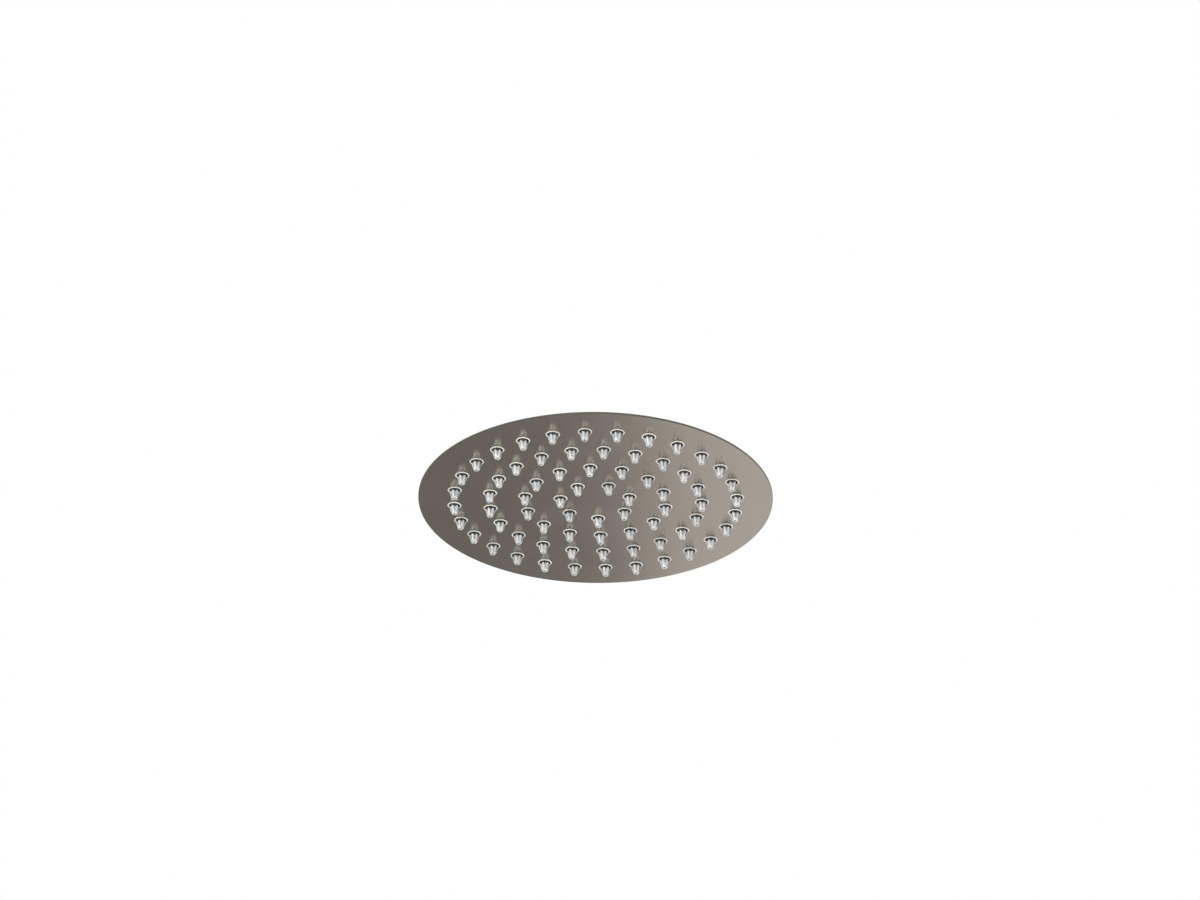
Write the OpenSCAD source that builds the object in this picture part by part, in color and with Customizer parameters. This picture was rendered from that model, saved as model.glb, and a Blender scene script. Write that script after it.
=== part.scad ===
// Round LED rain shower head, seen with its inlet on top and its nozzles pointing down.
// The origin is the middle of the inlet's mouth. Z points up, out of the inlet.
// The head hangs on a swivel ball. Water from the ball drives a small generator in the hub,
// fills the flat chamber behind the face and leaves through the nozzles.

/* [Spray head] */
// Outside diameter of the spray face
head_d = 200; // [170:5:260]
// Thickness of the face sheet
face_t = 0.6; // [0.5:0.1:1]
// Thickness of the back sheet
back_t = 0.5; // [0.4:0.1:1]
// Inside height of the water chamber
chamber_h = 5.8; // [5.6:0.1:7]
// Width of the flat rim where the two sheets are joined
rim_w = 6; // [4:0.5:8]
// Width of the slope from the rim up to the roof of the chamber
slope_w = 18; // [16:1:22]
// Outside radius of the face sheet's turned-up edge
edge_r = 0.5; // [0.3:0.05:0.55]

/* [Nozzles] */
// Distance from the outer ring of nozzles to the head's edge
nozzle_margin = 20; // [16:1:22]
// Radius of the holes in the face
hole_r = 3.6; // [3.4:0.05:3.8]
// Length of a nozzle below the face
nozzle_l = 5.6; // [5.4:0.1:7]
// Outside radius of a nozzle at its tip
tip_r = 1.6; // [1.4:0.05:1.75]
// Length of a nozzle's straight root below the face
root_l = 0.9; // [0.6:0.1:1.4]
// Radius of the orifice
orifice_r = 0.6; // [0.4:0.05:0.8]
// Radius of the water passage at the nozzle's inner end
throat_r = 1.4; // [1.1:0.05:1.5]
// Half width of the round lip that lies on the face
lip_r = 0.45; // [0.4:0.05:0.6]
// Radius of the flange inside the face
flange_r = 5; // [4.6:0.1:5.2]
// Thickness of the flange inside the face
flange_t = 1; // [0.8:0.1:1.4]
// Ribs around each nozzle, with a round flute between every two
rib_count = 6; // [4:1:7]
// Depth of a flute at the face. It runs straight down until the cone has shrunk to its bottom
flute_depth = 1; // [0.6:0.05:1.1]
// Radius of a flute's round bottom
flute_r = 0.8; // [0.6:0.05:0.9]

/* [Inlet and ball] */
// Radius of the socket's bore, the minor radius of a G1/2 thread
thread_r = 9.3; // [9.3:0.1:9.3]
// Length of the threaded bore
thread_l = 8; // [7.6:0.1:9]
// Outside radius of the socket
socket_r = 13; // [12.5:0.1:13.2]
// Height of the socket
socket_h = 12.5; // [12.3:0.1:14]
// Distance across the spanner flats of the socket
socket_flats = 24; // [23.5:0.1:25]
// Free length of the neck between socket and ball
neck_l = 1; // [0.9:0.1:4]
// Radius of the neck
neck_r = 6.3; // [6:0.1:6.6]
// Radius of the swivel ball
ball_r = 10.5; // [10:0.1:11]
// Radius of the water passage through the ball
bore_r = 4; // [3:0.1:4.3]
// Half of the ball's missing cap, measured as the height of its flat below the centre
ball_flat = 9; // [8.6:0.1:9.4]

/* [Collar] */
// Largest tilt of the head on its ball, in degrees
tilt = 15; // [5:1:15]
// Thickness of the slotted liner round the ball
liner_t = 2.05; // [1.8:0.05:2.4]
// Width of the liner's slot
liner_slot = 2; // [1:0.5:4]
// Thickness of the rubber ring under the ball
seal_r = 1.25; // [1.1:0.05:1.4]
// Distance across the flats of the collar nut
nut_flats = 33; // [32.5:0.5:36]
// Wall of the neck boss outside the rubber ring
boss_wall = 3.45; // [3.2:0.05:3.6]
// Thickness of the boss under the rubber ring
boss_floor = 1.5; // [1.2:0.1:2.5]

/* [Hub and generator] */
// Thickness of the hub's sheet
hub_t = 0.8; // [0.6:0.1:1]
// Outside radius of the rotor's blades
rotor_r = 14.2; // [13:0.1:17]
// Width of the gap between the blades and the jets
jet_gap = 1; // [0.6:0.1:2]
// Wall of the jet ring
jet_wall = 2.8; // [2.4:0.1:4]
// Width of the water's way round the jet ring
supply_w = 2.2; // [1.6:0.1:4]
// Wall of the generator's cup
cup_wall = 1.3; // [1:0.1:2]
// Thickness of the floor of the generator's cup
cup_floor = 3.6; // [3.4:0.1:5]
// Space for water above the jet ring
inlet_gap = 2.2; // [1.8:0.1:3]
// Thickness of the jet ring's top
jet_top_t = 1.2; // [1:0.1:2]
// Height of the space that the rotor turns in
rotor_space = 5; // [4.6:0.1:7]
// Water gap between the generator and the nozzles
water_gap = 2; // [1:0.1:4]
// Blades on the rotor
blade_count = 12; // [8:1:14]
// Radius of the rotor's axle
axle_r = 1; // [0.8:0.05:1.2]

/* [LED ring] */
// Width of the LED board
board_w = 10.8; // [9:0.1:12]
// Thickness of the LED board
board_t = 1; // [0.8:0.1:1.1]
// LEDs on the board
led_count = 12; // [8:1:16]
// Wall of the clear channel
channel_t = 0.9; // [0.8:0.1:1]

/* [Hidden] */
$fn = 72;
small = 32;

// Clearances: turning fits, pieces put together by hand, and running gaps
fit = 0.05;
slip = 0.02;
running = 0.3;
// Overlap of a cutting tool past the face that it cuts
cut = 1;

// Nozzle pattern: four rings, with as many nozzles in the first as each further ring adds
rings = 4;
ring_step = 7;
head_r = head_d / 2;
ring_pitch = (head_r - nozzle_margin) / rings;

// Nozzle: a groove parts the lip from the root of the ribs
groove_r = hole_r - fit - 0.45;
root_r = groove_r - 0.15;
tip_chamfer = 0.25;
rib_turn = 13;

// Inlet washer, filter and flow regulator. The washer lies in a relief groove below the thread
washer_t = 2;
washer_in_r = 5.6;
relief_r = thread_r + 1.1;
screen_t = 0.5;
thread_depth = thread_l + washer_t + screen_t + 0.1;
screen_hole_r = 0.5;
screen_pitch = 2;
screen_rings = 3;
regulator_r = 5;
regulator_t = 2.8;
regulator_hole_r = 1.6;
regulator_port_r = 0.6;
regulator_port_at = 3.2;
regulator_seat = 3;
socket_chamfer = 0.8;

// Ball joint, with heights measured from the ball's centre
ball_z = -(socket_h + neck_l + ball_r);
liner_in_r = ball_r + fit;
liner_out_r = liner_in_r + liner_t;
seat_r = liner_out_r + fit;
liner_top = 6.1;
liner_bottom = -2;
nut_mouth_r = ball_r + 0.2;
nut_top = sqrt(seat_r * seat_r - nut_mouth_r * nut_mouth_r) + 0.4;
nut_chamfer = 1.6;
nut_gap = 0.9;
seal_angle = 125;
seal_reach = ball_r + fit + seal_r;
seal_at_r = seal_reach * sin(seal_angle);
seal_z = ball_z + seal_reach * cos(seal_angle);
pocket_r = seal_at_r + seal_r + fit;
pocket_z = seal_z - seal_r - fit;
boss_r = pocket_r + boss_wall;
boss_top_z = ball_z - (liner_out_r * sin(tilt) - liner_bottom + running) / cos(tilt);
boss_bore_r = 7.2;
boss_chamfer = 0.6;
spigot_r = 9;

// Radii of the generator and the hub, counted outwards from the rotor's blades
jet_in_r = rotor_r + jet_gap;
jet_out_r = jet_in_r + jet_wall;
cup_in_r = jet_out_r + supply_w;
cup_r = cup_in_r + cup_wall;
stud_r = 2;
stud_gap = 0.6;
stud_at = cup_r + stud_gap + stud_r;
ear_r = 2.6;
hub_corner_r = 2.5;
hub_bend_r = 0.8;
hub_r = stud_at + stud_r + running + hub_corner_r;
hub_in_r = hub_r - hub_t;

// Heights of the hub and the generator, counted down from the boss
hub_top_z = pocket_z - boss_floor;
hub_in_z = hub_top_z - hub_t;
hub_flange_w = 3.5;
gasket_t = 0.8;
jet_z = hub_in_z - inlet_gap;
rotor_space_z = jet_z - jet_top_t;
floor_z = rotor_space_z - rotor_space;
cup_bottom_z = floor_z - cup_floor;
flange_top_z = cup_bottom_z - water_gap;
face_in_z = flange_top_z - flange_t;
face_z = face_in_z - face_t;
roof_z = face_in_z + chamber_h;
back_top_z = roof_z + back_t;
rim_top_z = face_in_z + back_t;

// Generator pieces
jet_count = 6;
jet_w = 1.4;
jet_h = 3.4;
lug_count = 3;
lug_r = 1.5;
axle_boss_r = 2.6;
axle_boss_h = 1;
axle_depth = 2.5;
outlet_count = 8;
outlet_r = 1.4;
outlet_at = rotor_r - outlet_r / 2;
coil_in_r = 5.2;
coil_out_r = outlet_at - outlet_r - running;
coil_t = 1.6;
coil_plate_t = 0.8;
stud_count = 3;
stud_turn = 90;
ear_t = 2;
screw_r = 1.2;
screw_head_r = 2.2;
screw_head_h = 1.4;
screw_grip = 5;

// Rotor, which floats between the jet ring and the cup's floor
rotor_h = rotor_space - 2 * running;
rotor_z = floor_z + running;
bush_r = 2;
bush_h = 1.4;
rotor_tube_r = 3.2;
magnet_in_r = 3.5;
magnet_out_r = 7.6;
magnet_h = 2.2;
rotor_rim_r = 8.4;
blade_t = 0.9;
blade_bend_r = 7;

// LED ring, hung under the roof of the chamber between the second and the third nozzle ring
led_at = 2.5 * ring_pitch;
channel_gap = 0.4;
potting_t = 0.9;
led_size = [3.5, 2.8, 0.8];
led_room = 0.2;
channel_top_z = roof_z - channel_gap;
board_z = channel_top_z - potting_t - board_t;
led_z = board_z - led_size[2];
channel_floor_z = led_z - led_room;
channel_in_r = led_at - board_w / 2 - slip - channel_t;
channel_out_r = led_at + board_w / 2 + slip + channel_t;
led_stud_count = 4;
led_stud_turn = 45;
led_stud_h = 1.4;
led_stud_r = 2.5;
led_ear_r = 3;
led_ear_t = 1.2;
led_stud_at = channel_out_r + led_stud_r + 0.2;
led_screw_r = 1;
led_screw_head_r = 1.9;
led_screw_head_h = 1.2;
led_screw_grip = 1.1;
lead_r = 0.45;
lead_offset = 1.2;
lead_turn = 22.5;
lead_z = channel_top_z - potting_t / 2;

// Points of an arc from angle a to angle b round the point c
function arc(c, r, a, b, n = 6) =
    [for (i = [0 : n]) let (t = a + (b - a) * i / n) [c[0] + r * cos(t), c[1] + r * sin(t)]];

// Height of the chamber's roof above the face sheet at radius r: flat rim, smooth slope, flat roof
function roof_at(r) =
    let (s = min(1, max(0, (head_r - rim_w - r) / slope_w))) chamber_h * (1 - cos(180 * s)) / 2;

// A ring or tube between two radii and two heights
module tube(r_in, r_out, z_low, z_high, fn = $fn) {
    translate([0, 0, z_low])
        difference() {
            cylinder(r = r_out, h = z_high - z_low, $fn = fn);
            translate([0, 0, -cut]) cylinder(r = r_in, h = z_high - z_low + 2 * cut, $fn = fn);
        }
}

// A pin between two heights
module pin(r, z_low, z_high) {
    translate([0, 0, z_low]) cylinder(r = r, h = z_high - z_low, $fn = small);
}

// Copies its children count times on a circle
module around(count, at, turn = 0) {
    for (k = [0 : count - 1])
        rotate([0, 0, turn + 360 * k / count])
            translate([at, 0, 0])
                children();
}

// Copies its children at every nozzle of one ring, always facing the same way
module nozzle_places(ring) {
    count = ring * ring_step;
    for (k = [0 : count - 1]) {
        a = 90 + 360 * k / count;
        translate([ring * ring_pitch * cos(a), ring * ring_pitch * sin(a), face_z])
            children();
    }
}

// Flange, collar and lip of one nozzle, with the outside of the face at height 0
module nozzle_foot() {
    rotate_extrude($fn = small) {
        polygon([
            [0, face_t + flange_t], [flange_r, face_t + flange_t], [flange_r, face_t],
            [hole_r - fit, face_t], [hole_r - fit, -lip_r / 2], [groove_r, -lip_r / 2],
            [groove_r, face_t], [0, face_t]
        ]);
        intersection() {
            translate([groove_r + lip_r, 0]) circle(r = lip_r, $fn = small);
            translate([groove_r, -lip_r]) square([2 * lip_r, lip_r]);
        }
    }
}

// Ribbed cone of one nozzle, from the middle of its flange down to its tip
module nozzle_cone() {
    difference() {
        rotate_extrude($fn = small)
            polygon([
                [0, face_t + flange_t / 2], [root_r, face_t + flange_t / 2], [root_r, -root_l],
                [tip_r, -nozzle_l + tip_chamfer], [tip_r - tip_chamfer, -nozzle_l],
                [0, -nozzle_l]
            ]);
        around(rib_count, root_r - flute_depth + flute_r, rib_turn + 180 / rib_count)
            pin(flute_r, -nozzle_l - cut, face_t + flange_t);
    }
}

// One silicone nozzle, pushed through its hole until its lip snaps over the face
module nozzle() {
    color([0.86, 0.88, 0.87, 0.6])
        difference() {
            union() {
                nozzle_foot();
                nozzle_cone();
            }
            rotate_extrude($fn = small)
                polygon([
                    [0, face_t + flange_t + cut], [throat_r, face_t + flange_t + cut],
                    [throat_r, face_t + flange_t], [orifice_r, -nozzle_l + 1],
                    [orifice_r, -nozzle_l - cut], [0, -nozzle_l - cut]
                ]);
        }
}

module nozzles_row_1() { nozzle_places(1) nozzle(); }
module nozzles_row_2() { nozzle_places(2) nozzle(); }
module nozzles_row_3() { nozzle_places(3) nozzle(); }
module nozzles_row_4() { nozzle_places(4) nozzle(); }

// Flat spray face with a low rim turned up round the back sheet
module face_plate() {
    color([0.6, 0.57, 0.54])
        difference() {
            rotate_extrude($fn = 180)
                polygon(concat(
                    [[0, face_z]],
                    arc([head_r - edge_r, face_z + edge_r], edge_r, -90, 0),
                    [[head_r, rim_top_z], [head_r - face_t, rim_top_z],
                     [head_r - face_t, face_in_z], [0, face_in_z]]
                ));
            for (ring = [1 : rings])
                nozzle_places(ring)
                    translate([0, 0, -cut])
                        cylinder(r = hole_r, h = face_t + 2 * cut, $fn = small);
        }
}

// Dished back pressing: flat rim on the face sheet, smooth slope, flat roof round the hub
module back_plate() {
    steps = 18;
    radii = [for (i = [0 : steps]) head_r - rim_w - slope_w * i / steps];
    color([0.6, 0.58, 0.55])
        rotate_extrude($fn = 180)
            polygon(concat(
                [[head_r - face_t - fit, face_in_z]],
                [for (r = radii) [r, face_in_z + roof_at(r)]],
                [[hub_in_r, roof_z], [hub_in_r, back_top_z]],
                [for (i = [steps : -1 : 0]) [radii[i], face_in_z + back_t + roof_at(radii[i])]],
                [[head_r - face_t - fit, rim_top_z]]
            ));
}

// Drawn cup over the generator, spot welded to the back plate by its flange
module hub_cover() {
    flange_out = hub_r + hub_flange_w;
    inner_corner = hub_corner_r - hub_t;
    bend = [hub_r + hub_bend_r, back_top_z + hub_t + hub_bend_r];
    color([0.62, 0.6, 0.57])
        rotate_extrude()
            polygon(concat(
                arc(bend, hub_bend_r + hub_t, 180, 270),
                [[flange_out, back_top_z], [flange_out, back_top_z + hub_t]],
                arc(bend, hub_bend_r, 270, 180),
                arc([hub_r - hub_corner_r, hub_top_z - hub_corner_r], hub_corner_r, 0, 90),
                [[spigot_r + slip, hub_top_z], [spigot_r + slip, hub_in_z]],
                arc([hub_r - hub_corner_r, hub_top_z - hub_corner_r], inner_corner, 90, 0)
            ));
}

// Threaded boss brazed into the hub cover, with the pocket for the rubber ring
module neck_boss() {
    color([0.72, 0.71, 0.69])
        rotate_extrude()
            polygon([
                [pocket_r, boss_top_z], [boss_r - boss_chamfer, boss_top_z],
                [boss_r, boss_top_z - boss_chamfer], [boss_r, hub_top_z],
                [spigot_r, hub_top_z], [spigot_r, hub_in_z], [boss_bore_r, hub_in_z],
                [boss_bore_r, pocket_z], [pocket_r, pocket_z]
            ]);
}

// Rubber ring that the ball presses on
module ball_seal() {
    color([0.12, 0.12, 0.12])
        rotate_extrude()
            translate([seal_at_r, seal_z]) circle(r = seal_r, $fn = small);
}

// Slotted liner that wraps the ball and slides in the collar nut
module ball_liner() {
    color([0.9, 0.9, 0.86])
        translate([0, 0, ball_z])
            difference() {
                rotate_extrude()
                    intersection() {
                        difference() {
                            circle(r = liner_out_r);
                            circle(r = liner_in_r);
                        }
                        translate([0, liner_bottom])
                            square([liner_out_r + cut, liner_top - liner_bottom]);
                    }
                translate([0, -liner_slot / 2, liner_bottom - cut])
                    cube([liner_out_r + cut, liner_slot, liner_top - liner_bottom + 2 * cut]);
            }
}

// Hexagon nut with a round seat for the liner, screwed down on the boss
module collar_nut() {
    corner_r = nut_flats / 2 / cos(30);
    low = hub_top_z + nut_gap;
    high = ball_z + nut_top;
    top_r = nut_flats / 2 - 0.6;
    color([0.75, 0.74, 0.72])
        difference() {
            intersection() {
                translate([0, 0, low]) cylinder(r = corner_r, h = high - low, $fn = 6);
                rotate_extrude()
                    polygon([
                        [0, low], [corner_r - 0.8, low], [corner_r + 0.4, low + 0.7],
                        [corner_r + 0.4, high - nut_chamfer - 0.6], [top_r, high], [0, high]
                    ]);
            }
            translate([0, 0, ball_z]) sphere(r = seat_r);
            translate([0, 0, ball_z]) cylinder(r = nut_mouth_r, h = nut_top + cut);
            translate([0, 0, boss_top_z - cut])
                cylinder(r = seat_r, h = ball_z - boss_top_z + cut);
            translate([0, 0, low - cut]) cylinder(r = boss_r + fit, h = boss_top_z - low + cut);
        }
}

// Swivel ball, neck and threaded socket, turned from one bar
module inlet_ball() {
    seat_z = -thread_depth - regulator_seat;
    color([0.76, 0.75, 0.73])
        difference() {
            union() {
                difference() {
                    rotate_extrude()
                        polygon([
                            [0, 0], [socket_r - socket_chamfer, 0], [socket_r, -socket_chamfer],
                            [socket_r, socket_chamfer - socket_h],
                            [socket_r - socket_chamfer, -socket_h], [0, -socket_h]
                        ]);
                    for (side = [0, 180])
                        rotate([0, 0, side])
                            translate([socket_flats / 2, -socket_r, -socket_h - cut])
                                cube([socket_r, 2 * socket_r, socket_h + 2 * cut]);
                }
                translate([0, 0, ball_z]) cylinder(r = neck_r, h = -ball_z - socket_h + 0.5);
                difference() {
                    translate([0, 0, ball_z]) sphere(r = ball_r);
                    translate([0, 0, ball_z - ball_flat - ball_r])
                        cylinder(r = ball_r, h = ball_r);
                }
            }
            translate([0, 0, -thread_depth]) cylinder(r = thread_r, h = thread_depth + cut);
            translate([0, 0, -thread_depth]) cylinder(r = relief_r, h = thread_depth - thread_l);
            translate([0, 0, seat_z]) cylinder(r = regulator_r + fit, h = regulator_seat + cut);
            translate([0, 0, ball_z - ball_r]) cylinder(r = bore_r, h = ball_r - ball_z);
        }
}

// Flat rubber washer that seals the pipe's end
module inlet_washer() {
    color([0.15, 0.15, 0.15])
        tube(washer_in_r, relief_r - 0.2, -thread_depth, washer_t - thread_depth);
}

// Perforated disc that keeps grit out
module filter_screen() {
    low = washer_t - thread_depth;
    color([0.7, 0.7, 0.7])
        difference() {
            translate([0, 0, low]) cylinder(r = thread_r - 0.3, h = screen_t);
            translate([0, 0, low - cut]) cylinder(r = screen_hole_r, h = screen_t + 2 * cut, $fn = 16);
            for (ring = [1 : screen_rings])
                around(6 * ring, screen_pitch * ring)
                    translate([0, 0, low - cut])
                        cylinder(r = screen_hole_r, h = screen_t + 2 * cut, $fn = 16);
        }
}

// Flow limiter, a disc with one middle hole and a ring of small ports
module flow_regulator() {
    low = -thread_depth - regulator_seat;
    color([0.35, 0.55, 0.4])
        difference() {
            translate([0, 0, low]) cylinder(r = regulator_r, h = regulator_t);
            translate([0, 0, low - cut])
                cylinder(r = regulator_hole_r, h = regulator_t + 2 * cut, $fn = small);
            around(6, regulator_port_at)
                translate([0, 0, low - cut])
                    cylinder(r = regulator_port_r, h = regulator_t + 2 * cut, $fn = 16);
        }
}

// Lower housing: a cup with outlets, a coil pocket from below and three screw ears
module generator_base() {
    cup_top_z = hub_in_z - gasket_t;
    coil_top_z = cup_bottom_z + coil_plate_t + coil_t;
    color([0.2, 0.22, 0.24])
        difference() {
            union() {
                translate([0, 0, cup_bottom_z]) cylinder(r = cup_r, h = cup_top_z - cup_bottom_z);
                around(stud_count, 0, stud_turn) {
                    translate([stud_at, 0, floor_z - ear_t]) cylinder(r = ear_r, h = ear_t, $fn = small);
                    translate([cup_in_r, -ear_r, floor_z - ear_t])
                        cube([stud_at - cup_in_r, 2 * ear_r, ear_t]);
                }
            }
            translate([0, 0, floor_z]) cylinder(r = cup_in_r, h = cup_top_z - floor_z + cut);
            tube(coil_in_r, coil_out_r, cup_bottom_z - cut, coil_top_z);
            pin(axle_r + slip, floor_z - axle_depth, floor_z + cut);
            around(outlet_count, outlet_at) pin(outlet_r, cup_bottom_z - cut, floor_z + cut);
            around(stud_count, stud_at, stud_turn) pin(screw_r + fit, floor_z - ear_t - cut, floor_z + cut);
            lead_pair(lead_r + slip, coil_out_r - 1, cup_r + cut);
        }
}

// Ring with slanted jets; its lid carries the top of the axle and three lugs reach up to the hub
module jet_ring() {
    color([0.82, 0.82, 0.8])
        difference() {
            union() {
                translate([0, 0, floor_z]) cylinder(r = jet_out_r, h = jet_z - floor_z);
                pin(axle_boss_r, jet_z - jet_top_t / 2, jet_z + axle_boss_h);
                around(lug_count, jet_out_r - lug_r - 0.5, 30)
                    pin(lug_r, jet_z - jet_top_t / 2, hub_in_z);
            }
            translate([0, 0, floor_z - cut]) cylinder(r = jet_in_r, h = rotor_space + cut);
            pin(axle_r + slip, rotor_space_z - cut, jet_z + axle_boss_h / 2);
            for (k = [0 : jet_count - 1])
                rotate([0, 0, 360 * k / jet_count])
                    translate([0, jet_in_r - jet_w, floor_z + (rotor_space - jet_h) / 2])
                        cube([jet_out_r + cut, jet_w, jet_h]);
        }
}

// Flat gasket on the rim of the generator's cup
module generator_gasket() {
    color([0.14, 0.14, 0.14])
        tube(cup_in_r, cup_r, hub_in_z - gasket_t, hub_in_z);
}

// Studs welded inside the hub cover
module generator_studs() {
    color([0.7, 0.7, 0.68])
        around(stud_count, stud_at, stud_turn)
            difference() {
                pin(stud_r, floor_z, hub_in_z);
                pin(screw_r + slip, floor_z - cut, floor_z + screw_grip + running);
            }
}

// Screws that pull the generator up against its gasket
module generator_screws() {
    color([0.78, 0.78, 0.76])
        around(stud_count, stud_at, stud_turn) {
            pin(screw_r, floor_z - ear_t - 0.5, floor_z + screw_grip);
            difference() {
                pin(screw_head_r, floor_z - ear_t - screw_head_h, floor_z - ear_t);
                translate([0, 0, floor_z - ear_t - screw_head_h - cut])
                    cylinder(r = 0.9, h = cut + 0.7, $fn = 6);
            }
        }
}

// Steel pin that the rotor turns on
module rotor_axle() {
    color([0.8, 0.8, 0.8])
        pin(axle_r, floor_z - axle_depth, jet_z + axle_boss_h / 2);
}

// Wound coil, flat in its pocket under the rotor's magnet
module stator_coil() {
    color([0.72, 0.4, 0.2])
        tube(coil_in_r + fit, coil_out_r - fit,
             cup_bottom_z + coil_plate_t, cup_bottom_z + coil_plate_t + coil_t);
}

// Steel ring that closes the coil's pocket
module stator_plate() {
    color([0.5, 0.5, 0.5])
        tube(coil_in_r + fit, coil_out_r - fit, cup_bottom_z, cup_bottom_z + coil_plate_t);
}

// Two straight rods side by side, from one radius to another
module lead_pair(r, from, to) {
    for (side = [-1, 1])
        rotate([0, 0, lead_turn])
            translate([from, side * lead_offset, lead_z])
                rotate([0, 90, 0])
                    cylinder(r = r, h = to - from, $fn = small);
}

// Leads from the coil through the cup and the clear channel to the LED board's resin
module generator_leads() {
    color([0.6, 0.12, 0.1])
        lead_pair(lead_r, coil_out_r + fit, channel_in_r + channel_t);
}

// Clear channel that holds the LED board, with four screw ears outside it
module led_cover() {
    low = channel_floor_z - channel_t;
    ear_z = roof_z - led_stud_h - led_ear_t;
    color([0.85, 0.9, 0.92, 0.5])
        difference() {
            union() {
                tube(channel_in_r, channel_out_r, low, channel_top_z, 144);
                around(led_stud_count, 0, led_stud_turn) {
                    translate([led_stud_at, 0, ear_z]) cylinder(r = led_ear_r, h = led_ear_t, $fn = small);
                    translate([channel_out_r - channel_t / 2, -led_ear_r, ear_z])
                        cube([led_stud_at - channel_out_r + channel_t / 2, 2 * led_ear_r, led_ear_t]);
                }
            }
            tube(channel_in_r + channel_t, channel_out_r - channel_t,
                 channel_floor_z, channel_top_z + cut, 144);
            around(led_stud_count, led_stud_at, led_stud_turn)
                pin(led_screw_r + fit, ear_z - cut, ear_z + led_ear_t + cut);
            lead_pair(lead_r + slip, channel_in_r - cut, channel_in_r + channel_t + cut);
        }
}

// Ring-shaped circuit board, with its LEDs on the side that faces down
module led_board() {
    color([0.9, 0.92, 0.9])
        tube(led_at - board_w / 2, led_at + board_w / 2, board_z, board_z + board_t, 144);
}

// LED packages, spread evenly round the board
module leds() {
    color([0.95, 0.93, 0.7])
        around(led_count, led_at)
            translate([-led_size[0] / 2, -led_size[1] / 2, led_z])
                cube(led_size);
}

// Resin that fills the channel above the board
module potting() {
    color([0.75, 0.75, 0.7])
        tube(led_at - board_w / 2, led_at + board_w / 2, board_z + board_t, channel_top_z, 144);
}

// Studs welded under the roof of the chamber
module led_studs() {
    color([0.7, 0.7, 0.68])
        around(led_stud_count, led_stud_at, led_stud_turn)
            difference() {
                pin(led_stud_r, roof_z - led_stud_h, roof_z);
                pin(led_screw_r + slip, roof_z - led_stud_h - cut,
                    roof_z - led_stud_h + led_screw_grip + 0.1);
            }
}

// Screws that hold the clear channel
module led_screws() {
    ear_z = roof_z - led_stud_h - led_ear_t;
    color([0.78, 0.78, 0.76])
        around(led_stud_count, led_stud_at, led_stud_turn) {
            pin(led_screw_r, ear_z - 0.5, roof_z - led_stud_h + led_screw_grip);
            difference() {
                pin(led_screw_head_r, ear_z - led_screw_head_h, ear_z);
                translate([0, 0, ear_z - led_screw_head_h - cut])
                    cylinder(r = 0.8, h = cut + 0.6, $fn = 6);
            }
        }
}

// Outline of one curved blade, from the rotor's rim to its tip
module blade_outline() {
    bend = [(rotor_rim_r + rotor_r) / 2, -blade_bend_r];
    intersection() {
        difference() {
            translate(bend) circle(r = blade_bend_r);
            translate(bend) circle(r = blade_bend_r - blade_t);
        }
        translate([0, -blade_t]) square([rotor_r + 1, 3 * blade_t]);
        difference() {
            circle(r = rotor_r);
            circle(r = rotor_rim_r - 0.3);
        }
    }
}

// Bladed wheel: a tube for the bushes, a lid over the magnet and curved blades round its rim
module turbine_rotor() {
    lid_z = rotor_z + magnet_h + fit;
    color([0.3, 0.45, 0.6]) {
        tube(bush_r + slip, rotor_tube_r, rotor_z, rotor_z + rotor_h);
        tube(rotor_tube_r - 0.1, rotor_rim_r, lid_z, rotor_z + rotor_h);
        tube(magnet_out_r + fit, rotor_rim_r, rotor_z, lid_z + 0.1);
        translate([0, 0, rotor_z])
            linear_extrude(rotor_h)
                for (k = [0 : blade_count - 1])
                    rotate([0, 0, 360 * k / blade_count])
                        blade_outline();
    }
}

// Ring magnet under the rotor's lid
module rotor_magnet() {
    color([0.3, 0.3, 0.32])
        tube(magnet_in_r, magnet_out_r, rotor_z, rotor_z + magnet_h);
}

module upper_bush() {
    color([0.85, 0.75, 0.5])
        tube(axle_r + 0.03, bush_r, rotor_z + rotor_h - bush_h, rotor_z + rotor_h);
}

module lower_bush() {
    color([0.85, 0.75, 0.5])
        tube(axle_r + 0.03, bush_r, rotor_z, rotor_z + bush_h);
}

inlet_ball();
inlet_washer();
filter_screen();
flow_regulator();
ball_liner();
collar_nut();
ball_seal();
neck_boss();
hub_cover();
back_plate();
face_plate();
nozzles_row_1();
nozzles_row_2();
nozzles_row_3();
nozzles_row_4();
generator_base();
jet_ring();
generator_gasket();
generator_studs();
generator_screws();
rotor_axle();
stator_coil();
stator_plate();
generator_leads();
led_cover();
led_board();
leds();
potting();
led_studs();
led_screws();
turbine_rotor();
rotor_magnet();
upper_bush();
lower_bush();
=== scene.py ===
import math
import bmesh
import bpy
from mathutils import Matrix, Vector


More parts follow.
